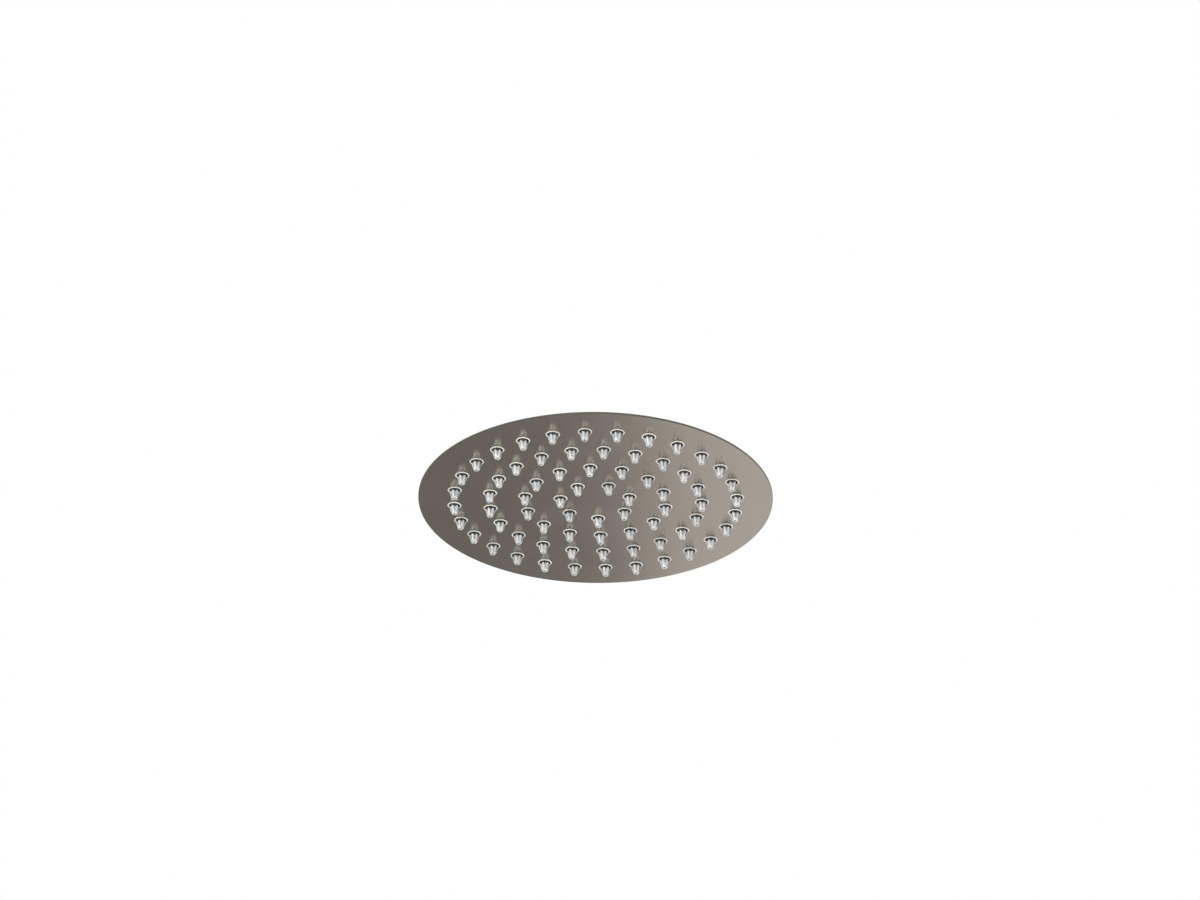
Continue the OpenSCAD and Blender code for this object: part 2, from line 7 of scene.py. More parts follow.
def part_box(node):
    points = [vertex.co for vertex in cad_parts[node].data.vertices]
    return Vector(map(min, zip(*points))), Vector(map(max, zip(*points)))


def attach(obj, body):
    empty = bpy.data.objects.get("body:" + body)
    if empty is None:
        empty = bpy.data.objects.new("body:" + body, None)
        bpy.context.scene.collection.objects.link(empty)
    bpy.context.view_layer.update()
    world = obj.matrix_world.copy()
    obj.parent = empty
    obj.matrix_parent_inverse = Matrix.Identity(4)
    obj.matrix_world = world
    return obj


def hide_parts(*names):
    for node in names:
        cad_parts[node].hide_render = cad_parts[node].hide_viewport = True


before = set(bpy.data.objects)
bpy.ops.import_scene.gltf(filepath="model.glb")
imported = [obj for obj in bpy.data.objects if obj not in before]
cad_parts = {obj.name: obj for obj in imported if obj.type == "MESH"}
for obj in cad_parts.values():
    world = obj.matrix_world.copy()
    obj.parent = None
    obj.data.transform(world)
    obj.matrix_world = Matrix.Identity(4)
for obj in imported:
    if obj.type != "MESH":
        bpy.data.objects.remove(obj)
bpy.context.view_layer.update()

# View: the head is seen from below, as it hangs, from the side opposite to the common line of
# its nozzle rings. The camera stands far off with a long lens, and aims a little above the head.
# Lengths and places in the scene are in metres, and sizes of pieces in millimetres.
mm = 0.001
view_turn = math.radians(4.43)
view_rise = math.radians(-28.57)
view_distance = 2479 * mm
view_roll = math.radians(0.45)
aim_right = 2.3 * mm
aim_up = 29.0 * mm
sensor_w = 36
lens_per_sensor = 3.66
view_end = 20
face_low, face_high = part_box("face_plate")
face_middle = Vector((0, 0, face_low.z))
looking = Vector((
    -math.sin(view_turn) * math.cos(view_rise),
    math.cos(view_turn) * math.cos(view_rise),
    -math.sin(view_rise),
))
camera_right = looking.cross(Vector((0, 0, 1))).normalized()
camera_up = camera_right.cross(looking)
camera = bpy.data.objects.new("camera", bpy.data.cameras.new("camera"))
bpy.context.scene.collection.objects.link(camera)
camera.data.sensor_width = sensor_w
camera.data.lens = lens_per_sensor * sensor_w
camera.data.clip_end = view_end
camera.location = face_middle - looking * view_distance
aim = face_middle + camera_right * aim_right + camera_up * aim_up - camera.location
camera.rotation_mode = "QUATERNION"
camera.rotation_quaternion = (
    aim.to_track_quat("-Z", "Y") @ Matrix.Rotation(view_roll, 3, "Z").to_quaternion()
)
bpy.context.scene.camera = camera
bpy.context.scene.view_settings.view_transform = "Standard"


# Light: an even white room, a broad lamp and an upright strip in front on the left, soft fills on
# the right and behind, and one lamp overhead. Only a panel on the right shows as a gradient in the
# satin face.
def soft_lamp(name, place, target, width, height, power, mirrored=False):
    """A flat lamp that shines from one point to another.

    The camera never sees it, and metal shows it only where it is mirrored.
    """
    lamp = bpy.data.objects.new(name, bpy.data.lights.new(name, "AREA"))
    lamp.data.shape = "RECTANGLE"
    lamp.data.size = width
    lamp.data.size_y = height
    lamp.data.energy = power
    lamp.location = place
    lamp.rotation_mode = "QUATERNION"
    lamp.rotation_quaternion = (Vector(target) - Vector(place)).to_track_quat("-Z", "Y")
    lamp.visible_camera = False
    lamp.visible_glossy = mirrored
    bpy.context.scene.collection.objects.link(lamp)


soft_lamp("front_lamp", (-0.9, -1.3, -0.9), face_middle, 1.6, 1.6, 15)
soft_lamp("front_strip", (-0.5, -1.5, -0.9), face_middle, 0.12, 1.6, 20)
soft_lamp("right_fill", (1.3, -1.1, -0.6), face_middle, 1.2, 1.2, 9)
soft_lamp("back_fill", (0.6, 1.5, -0.8), face_middle, 1.2, 1.2, 28)
soft_lamp("right_panel", (0.37, 0.93, -0.53), (0.44, 0, -0.02), 0.8, 0.8, 1.18, mirrored=True)
soft_lamp("top_lamp", (-0.6, 0.4, 1.6), face_middle, 1.2, 1.2, 16, mirrored=True)

room = bpy.data.worlds.new("room")
room.use_nodes = True
bpy.context.scene.world = room
room_light = room.node_tree.nodes["Background"]
room_light.inputs["Color"].default_value = (1, 1, 1, 1)
room_level = 0.25
ray = room.node_tree.nodes.new("ShaderNodeLightPath")
seen = ray.outputs["Is Camera Ray"]
for kind in ("Is Glossy Ray", "Is Transmission Ray"):
    either = room.node_tree.nodes.new("ShaderNodeMath")
    either.operation = "MAXIMUM"
    room.node_tree.links.new(seen, either.inputs[0])
    room.node_tree.links.new(ray.outputs[kind], either.inputs[1])
    seen = either.outputs[0]
strength = room.node_tree.nodes.new("ShaderNodeMath")
strength.operation = "MULTIPLY_ADD"
strength.inputs[1].default_value = 1 - room_level
strength.inputs[2].default_value = room_level
room.node_tree.links.new(seen, strength.inputs[0])
room.node_tree.links.new(strength.outputs[0], room_light.inputs["Strength"])


# Floor: a plain pale sheet far below the hanging head, slightly uneven in tone. It fades into the
# white room all round.
class Value:
    """A number in a node tree. An expression on values adds its Math nodes."""

    def __init__(self, tree, socket):
        self.tree = tree
        self.socket = socket

    def math(self, operation, *items):
        made = self.tree.nodes.new("ShaderNodeMath")
        made.operation = operation
        for slot, item in enumerate(items):
            if isinstance(item, Value):
                self.tree.links.new(item.socket, made.inputs[slot])
            else:
                made.inputs[slot].default_value = item
        return Value(self.tree, made.outputs[0])

    def __add__(self, other):
        return self.math("ADD", self, other)

    def __radd__(self, other):
        return self.math("ADD", other, self)

    def __sub__(self, other):
        return self.math("SUBTRACT", self, other)

    def __rsub__(self, other):
        return self.math("SUBTRACT", other, self)

    def __mul__(self, other):
        return self.math("MULTIPLY", self, other)

    def __rmul__(self, other):
        return self.math("MULTIPLY", other, self)

    def __truediv__(self, other):
        return self.math("DIVIDE", self, other)

    def __pow__(self, other):
        return self.math("POWER", self, other)

    def __mod__(self, other):
        return self.math("FLOORED_MODULO", self, other)

    def __abs__(self):
        return self.math("ABSOLUTE", self)


class Nodes:
    """A node tree under construction."""

    def __init__(self, tree):
        self.tree = tree

    def put(self, socket, value):
        """Links a value or an output to a socket, or sets the socket to a constant."""
        if isinstance(value, Value):
            self.tree.links.new(value.socket, socket)
        elif isinstance(value, bpy.types.NodeSocket):
            self.tree.links.new(value, socket)
        else:
            socket.default_value = value

    def node(self, kind, settings=None, values=None):
        """Adds a node: its settings come first, then the values or links of its sockets."""
        made = self.tree.nodes.new(kind)
        for name, value in (settings or {}).items():
            if name == "stops":
                ramp = made.color_ramp.elements
                while len(ramp) < len(value):
                    ramp.new(0.5)
                for stop, (place, level) in zip(ramp, value):
                    stop.position = place
                    stop.color = (level, level, level, 1)
            else:
                setattr(made, name, value)
        for name, value in (values or {}).items():
            self.put(made.inputs[name], value)
        return made

    def value(self, node, output=0):
        return Value(self.tree, node.outputs[output])


class Finish(Nodes):
    """A material under construction, with its shader ready."""

    def __init__(self, name, **constants):
        self.material = bpy.data.materials.new(name)
        self.material.use_nodes = True
        super().__init__(self.material.node_tree)
        self.shader = self.tree.nodes["Principled BSDF"]
        self.set(**constants)

    def set(self, **inputs):
        """Sets or links sockets of the shader."""
        for socket, value in inputs.items():
            self.put(self.shader.inputs[socket.replace("_", " ")], value)

    def place(self):
        """The point on the piece, in metres: as a vector, and as x, y and z."""
        point = self.node("ShaderNodeTexCoord").outputs["Object"]
        parts = self.node("ShaderNodeSeparateXYZ", values={0: point})
        return point, self.value(parts, 0), self.value(parts, 1), self.value(parts, 2)

    def noise(self, at, scale, detail=2.0, roughness=0.5):
        """Smooth noise from 0 to 1, with scale in waves for each metre."""
        values = {"Vector": at, "Scale": scale, "Detail": detail, "Roughness": roughness}
        return self.value(self.node("ShaderNodeTexNoise", values=values))

    def point(self, x, y, z):
        return self.node("ShaderNodeCombineXYZ", values={0: x, 1: y, 2: z}).outputs[0]

    def ramp(self, value, *stops):
        """A value bent through stops of (place, level)."""
        made = self.node("ShaderNodeValToRGB", {"stops": stops}, {0: value})
        return self.value(made)

    def mix(self, factor, first, second):
        """Blends two colours."""
        values = {0: factor, 6: first, 7: second}
        return self.node("ShaderNodeMix", {"data_type": "RGBA"}, values).outputs[2]

    def shade(self, colour, level):
        """A colour made darker or lighter by a value near 1."""
        grey = self.point(level, level, level)
        made = self.node("ShaderNodeVectorMath", {"operation": "MULTIPLY"}, {0: colour, 1: grey})
        return made.outputs[0]

    def spots(self, x, y, count, at):
        """Distance from the nearest of several points, set evenly round the axis at a radius."""
        step = 2 * math.pi / count
        turns = y.math("ARCTAN2", y, x) / step
        across = ((turns + 0.5) % 1 - 0.5) * (step * at)
        out = (x * x + y * y) ** 0.5 - at
        return (across * across + out * out) ** 0.5

    def bump(self, height, distance, strength=1.0):
        """Relief from a height between 0 and 1 that stands for a distance in metres."""
        values = {"Height": height, "Distance": distance, "Strength": strength}
        self.set(Normal=self.node("ShaderNodeBump", values=values).outputs[0])


def even_turns(count):
    """Angles set evenly round a circle."""
    return [2 * math.pi * k / count for k in range(count)]


floor_r = 9
floor_z = -1.6
floor_sides = 64
floor_colour = (0.61, 0.59, 0.57)
fade_start = 0.33
floor_finish = Finish("pale_floor", Roughness=0.9)
floor_point, x, y, _ = floor_finish.place()
floor_tone = 0.97 + 0.06 * floor_finish.noise(floor_point, 1.5)
solid = floor_finish.ramp((x * x + y * y) ** 0.5 / floor_r, (fade_start, 1.0), (1.0, 0.0))
floor_finish.set(
    Base_Color=floor_finish.shade(floor_colour, floor_tone),
    Alpha=solid * solid * (3 - 2 * solid),
)
floor_mesh = bpy.data.meshes.new("floor")
floor_mesh.from_pydata(
    [(floor_r * math.cos(turn), floor_r * math.sin(turn), floor_z)
     for turn in even_turns(floor_sides)],
    [],
    [tuple(range(floor_sides))],
)
floor_mesh.materials.append(floor_finish.material)
floor = bpy.data.objects.new("floor", floor_mesh)
bpy.context.scene.collection.objects.link(floor)


# Face: one flat round sheet of satin stainless steel, punched with the holes of the nozzles. Its
# edge is turned up round the back sheet. The grain is so fine that it blurs what it mirrors.
class Plan(Nodes):
    """A Geometry Nodes tree under construction, with named inputs."""

    def __init__(self, name, **inputs):
        super().__init__(bpy.data.node_groups.new(name, "GeometryNodeTree"))
        sockets = self.tree.interface
        sockets.new_socket("Shape", in_out="INPUT", socket_type="NodeSocketGeometry")
        for label, kind in inputs.items():
            sockets.new_socket(label, in_out="INPUT", socket_type="NodeSocket" + kind)
        sockets.new_socket("Made", in_out="OUTPUT", socket_type="NodeSocketGeometry")
        self.given = self.tree.nodes.new("NodeGroupInput").outputs
        self.made = self.tree.nodes.new("NodeGroupOutput").inputs[0]

    def step(self, kind, settings=None, values=None):
        """Adds a node and gives its first output."""
        return self.node(kind, settings, values).outputs[0]

    def wanted(self, label):
        return Value(self.tree, self.given[label])

    def mesh(self, name, shape, **inputs):
        """Runs the tree on a mesh and gives the plain mesh that it makes."""
        carrier = bpy.data.objects.new(name, shape)
        bpy.context.scene.collection.objects.link(carrier)
        modifier = carrier.modifiers.new(name, "NODES")
        modifier.node_group = self.tree
        for item in self.tree.interface.items_tree:
            if item.name in inputs:
                modifier[item.identifier] = inputs[item.name]
        shown = carrier.evaluated_get(bpy.context.evaluated_depsgraph_get())
        mesh = bpy.data.meshes.new_from_object(shown)
        bpy.data.objects.remove(carrier)
        return mesh


def new_piece(name, mesh, finish, crease=35):
    """An object at the origin with one finish.

    It is shaded smooth but for the edges that turn by more than the crease, in degrees. A small
    one keeps a broad flat face flat in the light, up to its rounded edge.
    """
    mesh.materials.clear()
    mesh.materials.append(finish.material)
    mesh.shade_smooth()
    mesh.set_sharp_from_angle(angle=math.radians(crease))
    piece = bpy.data.objects.new(name, mesh)
    bpy.context.scene.collection.objects.link(piece)
    return piece


def spun(name, outline, turns, closed=True):
    """A solid turned about Z, from an outline of (radius, height) points in millimetres.

    The outline is a list, or a function that gives the list for a turn. A closed outline gives a
    ring, an open one a disc with flat ends.
    """
    shape = bmesh.new()
    columns = []
    for turn in turns:
        points = outline(turn) if callable(outline) else outline
        columns.append([
            shape.verts.new((r * mm * math.cos(turn), r * mm * math.sin(turn), z * mm))
            for r, z in points
        ])
    rings = list(zip(*columns))
    if closed:
        rings.append(rings[0])
    else:
        shape.faces.new(rings[0])
        shape.faces.new(rings[-1])
    for ring, after in zip(rings, rings[1:]):
        for k in range(len(turns)):
            n = (k + 1) % len(turns)
            shape.faces.new([ring[k], ring[n], after[n], after[k]])
    bmesh.ops.recalc_face_normals(shape, faces=shape.faces)
    mesh = bpy.data.meshes.new(name)
    shape.to_mesh(mesh)
    shape.free()
    return mesh


def rounded(corners, steps=4):
    """An outline whose corners (radius, height, fillet), in millimetres, are rounded."""
    straight = 1.55
    outline = []
    for k, (r, z, fillet) in enumerate(corners):
        here = Vector((r, z))
        before = (Vector(corners[k - 1][:2]) - here).normalized()
        after = (Vector(corners[(k + 1) % len(corners)][:2]) - here).normalized()
        half = before.angle(after) / 2
        if fillet == 0 or half > straight:
            outline.append(here)
            continue
        centre = here + (before + after).normalized() * fillet / math.sin(half)
        start = here + before * fillet / math.tan(half) - centre
        sweep = start.angle_signed(here + after * fillet / math.tan(half) - centre)
        for i in range(steps + 1):
            outline.append(centre + Matrix.Rotation(-sweep * i / steps, 2) @ start)
    return outline


def nozzle_ring(plan, ring):
    """The places of one ring of nozzles, the first one at the side away from the viewer."""
    circle = plan.step("GeometryNodeMeshCircle", values={
        "Vertices": plan.wanted("First") * ring,
        "Radius": plan.wanted("Pitch") * ring,
    })
    turned = {"Geometry": circle, "Rotation": (0, 0, math.pi / 2)}
    return plan.step("GeometryNodeTransform", values=turned)


ring_count = 4
first_ring = 7
ring_pitch = 20 * mm
head_r = 100
sheet_t = 0.6
edge_r = 0.3
rim_edge_r = 0.15
hole_r = 3.6
hole_sides = 48
punch_h = 6 * mm
sheet_sides = 288
flat_crease = 8
face_z = face_low.z / mm
rim_z = face_high.z / mm

sheet_corners = [
    (0, face_z, 0), (head_r, face_z, edge_r), (head_r, rim_z, rim_edge_r),
    (head_r - sheet_t, rim_z, rim_edge_r), (head_r - sheet_t, face_z + sheet_t, 0),
]
sheet = spun("face_sheet", rounded(sheet_corners)[1:], even_turns(sheet_sides), closed=False)

punching = Plan("punched_sheet", First="Int", Pitch="Float", Hole="Float")
punches = punching.node("GeometryNodeJoinGeometry")
for ring in range(1, ring_count + 1):
    punch = punching.step("GeometryNodeMeshCylinder", values={
        "Vertices": hole_sides, "Radius": punching.given["Hole"], "Depth": punch_h,
    })
    copies = punching.step("GeometryNodeInstanceOnPoints", values={
        "Points": nozzle_ring(punching, ring), "Instance": punch,
    })
    punching.put(punches.inputs[0], copies)
lowered = punching.step("GeometryNodeTransform", values={
    "Geometry": punches.outputs[0], "Translation": (0, 0, face_low.z),
})
loose_punches = punching.step("GeometryNodeRealizeInstances", values={0: lowered})
cut_sheet = punching.node("GeometryNodeMeshBoolean", {"operation": "DIFFERENCE"}, {
    0: punching.given["Shape"],
})
punching.put(cut_sheet.inputs[1], loose_punches)
punching.put(punching.made, cut_sheet.outputs[0])
face_mesh = punching.mesh(
    "punched_face", sheet, First=first_ring, Pitch=ring_pitch, Hole=hole_r * mm
)


line_waves = 5200
band_waves = 700
cloud_waves = 22.0
edge_sharpness = 5000
heat_tint = (0.36, 0.27, 0.19)
steel_relief = 0.1 * mm


def steel(name, colour, roughness, grain, dull_r=1.0, welds=()):
    """Satin steel, brushed in circles. Grain is the strength of its fine lines.

    Beyond the radius dull_r, in metres, is its sheared edge: dull, and darkened there as painted
    shade.
    Spot welds come as their count, the radius that they lie at and their own radius.
    """
    made = Finish(name, Metallic=1.0)
    point, x, y, z = made.place()
    radius = (x * x + y * y) ** 0.5
    fine = made.point(radius * line_waves + z * line_waves, x / radius, y / radius)
    broad = made.point(radius * band_waves + z * band_waves, x / radius, y / radius)
    lines = made.noise(fine, 1.0, 3.0, 0.6)
    bands = made.noise(broad, 1.0)
    clouds = made.noise(point, cloud_waves, 3.0)
    tone = 1 + grain * (0.10 * (lines - 0.5) + 0.06 * (bands - 0.5)) + 0.07 * (clouds - 0.5)
    # Past dull_r the edge is rougher, and its colour is darker as painted shade.
    rough_shaded_edge = made.ramp((radius - dull_r) * edge_sharpness, (0.0, 0.0), (1.0, 1.0))
    colour_now = made.shade(colour, tone * (1 - 0.55 * rough_shaded_edge))
    made.set(
        Base_Color=colour_now,
        Roughness=roughness + grain * 0.06 * (lines - 0.5) + 0.05 * (clouds - 0.5) + 0.4 * rough_shaded_edge,
    )
    height = (lines + 0.6 * bands) * (0.02 * grain)
    if welds:
        count, weld_at, weld_r = welds
        off = made.spots(x, y, count, weld_at) / weld_r
        dimple = made.ramp(off / 2, (0.25, 1.0), (0.36, 0.4), (0.5, 0.0))
        tint = made.ramp(off / 2, (0.2, 0.25), (0.42, 0.8), (0.55, 0.5), (0.95, 0.0))
        height = height - dimple
        made.set(Base_Color=made.mix(tint, colour_now, made.shade(heat_tint, tone)))
    made.bump(height, steel_relief)
    return made


satin_steel = steel(
    "satin_steel", (0.46, 0.410, 0.354), roughness=0.24, grain=1.0, dull_r=(head_r - edge_r) * mm
)
face = new_piece("punched_face", face_mesh, satin_steel, flat_crease)
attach(face, "head")
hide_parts("face_plate")


# Nozzles: ribbed cones of clear silicone, pushed through the face from inside until a round lip
# snaps over each hole. They can be rubbed clean, and each leans a little its own way.
nozzle_l = 5.6
tip_r = 1.6
tip_edge = 0.1
root_r = 2.95
root_l = 0.9
waist_r = hole_r - 0.05
groove_r = 3.1
lip_r = 0.45
lip_h = 0.36
lip_steps = 8
cone_step = 0.3
cone_bulge = 1.15
orifice_r = 0.6
orifice_l = 1
orifice_edge = 0.1
throat_r = 1.4
throat_l = 2
flange_r = 5.0
flange_t = 1.0
ribs = 6
rib_turn = math.radians(13)
flute_r = 0.8
flute_depth = 1.0
flute_at = root_r - flute_depth + flute_r
flute_edge = 0.12
nozzle_sides = 54
nozzle_crease = 40


def cone_r(depth):
    """Radius over the ribs at a depth below the face: a straight root, then a full cone."""
    along = max(0, depth - root_l) / (nozzle_l - root_l)
    return root_r + (tip_r - root_r) * along ** cone_bulge


def flute(turn):
    """How near the surface is to the middle of a flute: 0 on a rib, 1 in the middle."""
    return 0.5 - 0.5 * math.cos(ribs * (turn - rib_turn))


def fluted(radius, turn):
    """Radius of the cone where a round flute cuts into it, with its edges softened."""
    step = 2 * math.pi / ribs
    off = (turn - rib_turn) % step - step / 2
    reach = flute_r ** 2 - (flute_at * math.sin(off)) ** 2
    if reach <= 0:
        return radius
    bottom = flute_at * math.cos(off) - math.sqrt(reach)
    blend = max(0, flute_edge - abs(radius - bottom)) / flute_edge
    return min(radius, bottom) - blend ** 2 * flute_edge / 4


lip_points = [(groove_r + lip_r + lip_r * math.cos(t), lip_h * math.sin(t))
              for t in (-math.pi * k / lip_steps for k in range(lip_steps + 1))]
cone_points = [(root_r, sheet_t)]
cone_points += [
    (cone_r(cone_step * k), -cone_step * k) for k in range(int(nozzle_l / cone_step))
]
cone_points += [(tip_r - tip_edge, -nozzle_l + 0.8 * tip_edge)]


def nozzle_outline(turn):
    """Flange, neck in the hole, lip, fluted cone, tip with its orifice, and throat."""
    cone = [(fluted(r, turn), z) for r, z in cone_points]
    return (
        [(throat_r, sheet_t + flange_t), (flange_r, sheet_t + flange_t), (flange_r, sheet_t),
         (waist_r, sheet_t), (waist_r, 0)]
        + lip_points + [(groove_r, sheet_t)] + cone
        + [(tip_r - 3 * tip_edge, -nozzle_l), (orifice_r + orifice_edge, -nozzle_l),
           (orifice_r, -nozzle_l + orifice_edge), (orifice_r, -nozzle_l + orifice_l),
           (throat_r, -throat_l)]
    )


nozzle_shape = spun("nozzle", nozzle_outline, even_turns(nozzle_sides))
# The shadow mark paints shade: a dark ring round the root of each cone just below the lip, fading
# out further down, and a lighter painted shade in the throat.
shadow_l = 1.15
shadow_rib = 0.15
shadow_fade = 0.3
throat_shadow = 0.25
near = 0.01
margin = 0.1
marks = [nozzle_shape.attributes.new(name, "FLOAT", "POINT") for name in ("shadow", "thin", "lip")]
for vertex, dark, flute_shade_mark, on_lip in zip(nozzle_shape.vertices, *[mark.data for mark in marks]):
    radius = math.hypot(vertex.co.x, vertex.co.y) / mm
    depth = -vertex.co.z / mm
    turn = math.atan2(vertex.co.y, vertex.co.x)
    # The thin mark paints shade into the flutes: darkest at their middles near the face, and less
    # towards the tip.
    if depth > margin and radius < groove_r - near:
        flute_shade_mark.value = flute(turn) * (1 - 0.7 * min(1, depth / nozzle_l))
    if radius < throat_r + near:
        dark.value = throat_shadow
    elif radius < groove_r - near:
        reach = shadow_l + shadow_rib * flute(turn)
        dark.value = min(1, max(0, 1 - (depth - reach) / shadow_fade))
    else:
        on_lip.value = 1.0 if depth > -margin else 0.0


seed_step = 31
lean_reach = 0.3 * mm
lean_curve = 1.5


def planted_row(ring):
    """Adds one ring of nozzles to a new tree: copies, their own leans, and the finish."""
    plan = Plan(
        "nozzle_row_%d" % ring, First="Int", Pitch="Float", Face="Float", Length="Float",
        Lean="Float", Seed="Int", Finish="Material",
    )
    raised = plan.node("ShaderNodeCombineXYZ", values={2: plan.given["Face"]}).outputs[0]
    places = plan.step("GeometryNodeTransform", values={
        "Geometry": nozzle_ring(plan, ring), "Translation": raised,
    })
    copies = plan.step("GeometryNodeInstanceOnPoints", values={
        "Points": places, "Instance": plan.given["Shape"],
    })
    chances = []
    for draw in range(3):
        chance = plan.node("FunctionNodeRandomValue", {"data_type": "FLOAT"}, {
            "Seed": plan.wanted("Seed") + seed_step * draw,
        })
        chances.append(2 * Value(plan.tree, chance.outputs[1]) - 1)
    reach = plan.wanted("Lean")
    values = {0: chances[0] * reach, 1: chances[1] * reach}
    own = plan.node("ShaderNodeCombineXYZ", values=values).outputs[0]
    toned = plan.step(
        "GeometryNodeStoreNamedAttribute", {"data_type": "FLOAT", "domain": "INSTANCE"},
        {"Geometry": copies, "Name": "tone", "Value": chances[2]},
    )
    marked = plan.step(
        "GeometryNodeStoreNamedAttribute", {"data_type": "FLOAT_VECTOR", "domain": "INSTANCE"},
        {"Geometry": toned, "Name": "lean", "Value": own},
    )
    row = plan.step("GeometryNodeRealizeInstances", values={0: marked})
    lean = plan.node("GeometryNodeInputNamedAttribute", {"data_type": "FLOAT_VECTOR"}, {
        "Name": "lean",
    })
    spot = plan.node("ShaderNodeSeparateXYZ", values={0: plan.step("GeometryNodeInputPosition")})
    depth = (plan.wanted("Face") - plan.value(spot, 2)) / plan.wanted("Length")
    bend = depth.math("MAXIMUM", depth, 0.0) ** lean_curve
    shift = plan.node("ShaderNodeVectorMath", {"operation": "SCALE"}, {
        0: lean.outputs[0], "Scale": bend,
    })
    bent = plan.step("GeometryNodeSetPosition", values={
        "Geometry": row, "Offset": shift.outputs[0],
    })
    plan.put(plan.made, plan.step("GeometryNodeSetMaterial", values={
        "Geometry": bent, "Material": plan.given["Finish"],
    }))
    return plan


milk_dark = (0.67, 0.68, 0.665, 1)
milk_pale = (0.83, 0.83, 0.795, 1)
lip_colour = (0.74, 0.72, 0.67, 1)
flute_shade_colour = (0.27, 0.30, 0.32, 1)
shadow_colour = (0.07, 0.074, 0.076, 1)
milk_waves = 900.0
streak_waves = (1300, 1300, 260)
clear_silicone = Finish(
    "clear_silicone", Roughness=0.14, IOR=1.41, Transmission_Weight=0.1, Subsurface_Weight=0.25,
    Subsurface_Radius=(1, 1, 1), Subsurface_Scale=0.7 * mm,
)
nozzle_point, _, _, _ = clear_silicone.place()
milk = clear_silicone.noise(nozzle_point, milk_waves, 2.0)
drawn = clear_silicone.node("ShaderNodeMapping", values={
    "Vector": nozzle_point, "Scale": streak_waves,
})
streaks = clear_silicone.noise(drawn.outputs[0], 1.0, 2.0, 0.6)
root_shadow, flute_shade, lip, tone = [
    clear_silicone.value(clear_silicone.node("ShaderNodeAttribute", {"attribute_name": name}), 2)
    for name in ("shadow", "thin", "lip", "tone")
]
# Painted sparkle: random streaks down each cone make the colour lighter or darker, standing in for
# glints in clear silicone, and they thin out the painted flute shade.
painted_sparkle = clear_silicone.ramp(streaks, (0.38, 0.0), (0.62, 1.0))
pale = clear_silicone.mix(milk, milk_dark, milk_pale)
pale = clear_silicone.shade(pale, 0.76 + 0.32 * painted_sparkle)
pale = clear_silicone.mix(lip, pale, lip_colour)
pale = clear_silicone.shade(pale, 1 + 0.08 * tone)
# Painted shade in the flutes: the colour turns towards a dark grey where the thin mark is high.
pale = clear_silicone.mix(flute_shade * (1.4 - 0.7 * painted_sparkle), pale, flute_shade_colour)
# Painted shadow: where the shadow mark is high, the colour turns to shadow_colour.
clear_silicone.set(Base_Color=clear_silicone.mix(root_shadow, pale, shadow_colour))
clear_silicone.bump(milk, 0.01 * mm)

for ring in range(1, ring_count + 1):
    row_mesh = planted_row(ring).mesh(
        "nozzle_ring_%d" % ring, nozzle_shape, First=first_ring, Pitch=ring_pitch,
        Face=face_low.z, Length=nozzle_l * mm, Lean=lean_reach, Seed=3 * ring,
        Finish=clear_silicone.material,
    )
    row_piece = new_piece("nozzle_ring_%d" % ring, row_mesh, clear_silicone, nozzle_crease)
    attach(row_piece, "head")
    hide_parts("nozzles_row_%d" % ring)


# Back: a dished pressing of the same steel. Its flat rim lies on the face sheet, seam welded all
# round, and a smooth slope leads up to the flat roof round the hub.
back_low, back_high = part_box("back_plate")
seam_z = back_low.z / mm
roof_z = back_high.z / mm
back_t = 0.5
back_r = head_r - sheet_t - 0.05
rim_w = 6
slope_w = 18
slope_steps = 24
hub_r = 28.9
hub_t = 0.8
seam_r = 96.8
seam_w = 1.7
seam_marks = 400
pressed_colour = (0.36, 0.335, 0.31)
rise = roof_z - back_t - seam_z
slope = []
for k in range(slope_steps + 1):
    across = k / slope_steps
    slope.append((head_r - rim_w - slope_w * across,
                  seam_z + rise * (1 - math.cos(math.pi * across)) / 2))
back_outline = (
    [(back_r, seam_z)] + slope
    + [(hub_r - hub_t, roof_z - back_t), (hub_r - hub_t, roof_z)]
    + [(r, z + back_t) for r, z in reversed(slope)]
    + [(back_r - 0.15, seam_z + back_t), (back_r, seam_z + back_t - 0.12)]
)
back_steel = steel(
    "back_steel", pressed_colour, roughness=0.3, grain=1.6,
    welds=(seam_marks, seam_r * mm, seam_w / 2 * mm),
)
back_mesh = spun("pressed_back", back_outline, even_turns(sheet_sides))
back = new_piece("pressed_back", back_mesh, back_steel)
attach(back, "head")
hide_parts("back_plate")


# Hub: a deep drawn steel cup over the generator. Its flange is spot welded to the back, and each
# weld leaves a shallow round dimple.
_, hub_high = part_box("hub_cover")
hub_foot_r = hub_high.x / mm
hub_top = hub_high.z / mm
foot_edge = 0.35
foot_bend_r = 0.8
hub_corner_r = 2.5
spigot_r = 9
spigot_hole_r = spigot_r + 0.02
weld_count = 12
weld_r = 0.9
hub_sides = 192
hub_outline = rounded([
    (hub_r - hub_t, roof_z, 0), (hub_foot_r, roof_z, 0), (hub_foot_r, roof_z + hub_t, foot_edge),
    (hub_r, roof_z + hub_t, foot_bend_r), (hub_r, hub_top, hub_corner_r),
    (spigot_hole_r, hub_top, 0), (spigot_hole_r, hub_top - hub_t, 0),
    (hub_r - hub_t, hub_top - hub_t, hub_corner_r - hub_t),
], 8)
hub_steel = steel(
    "hub_steel", pressed_colour, roughness=0.3, grain=1.6,
    welds=(weld_count, (hub_r + hub_foot_r) / 2 * mm, weld_r * mm),
)
hub = new_piece("drawn_hub", spun("drawn_hub", hub_outline, even_turns(hub_sides)), hub_steel)
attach(hub, "head")
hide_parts("hub_cover")


# Boss: turned from nickel-plated brass and brazed into the hub. A fine thread outside takes the
# collar nut, and a pocket holds the rubber ring.
_, boss_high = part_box("neck_boss")
boss_r = boss_high.x / mm
boss_top = boss_high.z / mm
boss_chamfer = 0.6
shoulder_h = 1
pocket_r = 10.966
pocket_z = hub_top + 1.5
boss_bore_r = 7.2
boss_pitch = 1.0
boss_thread_h = 0.3
boss_step = 0.2
boss_sides = 96


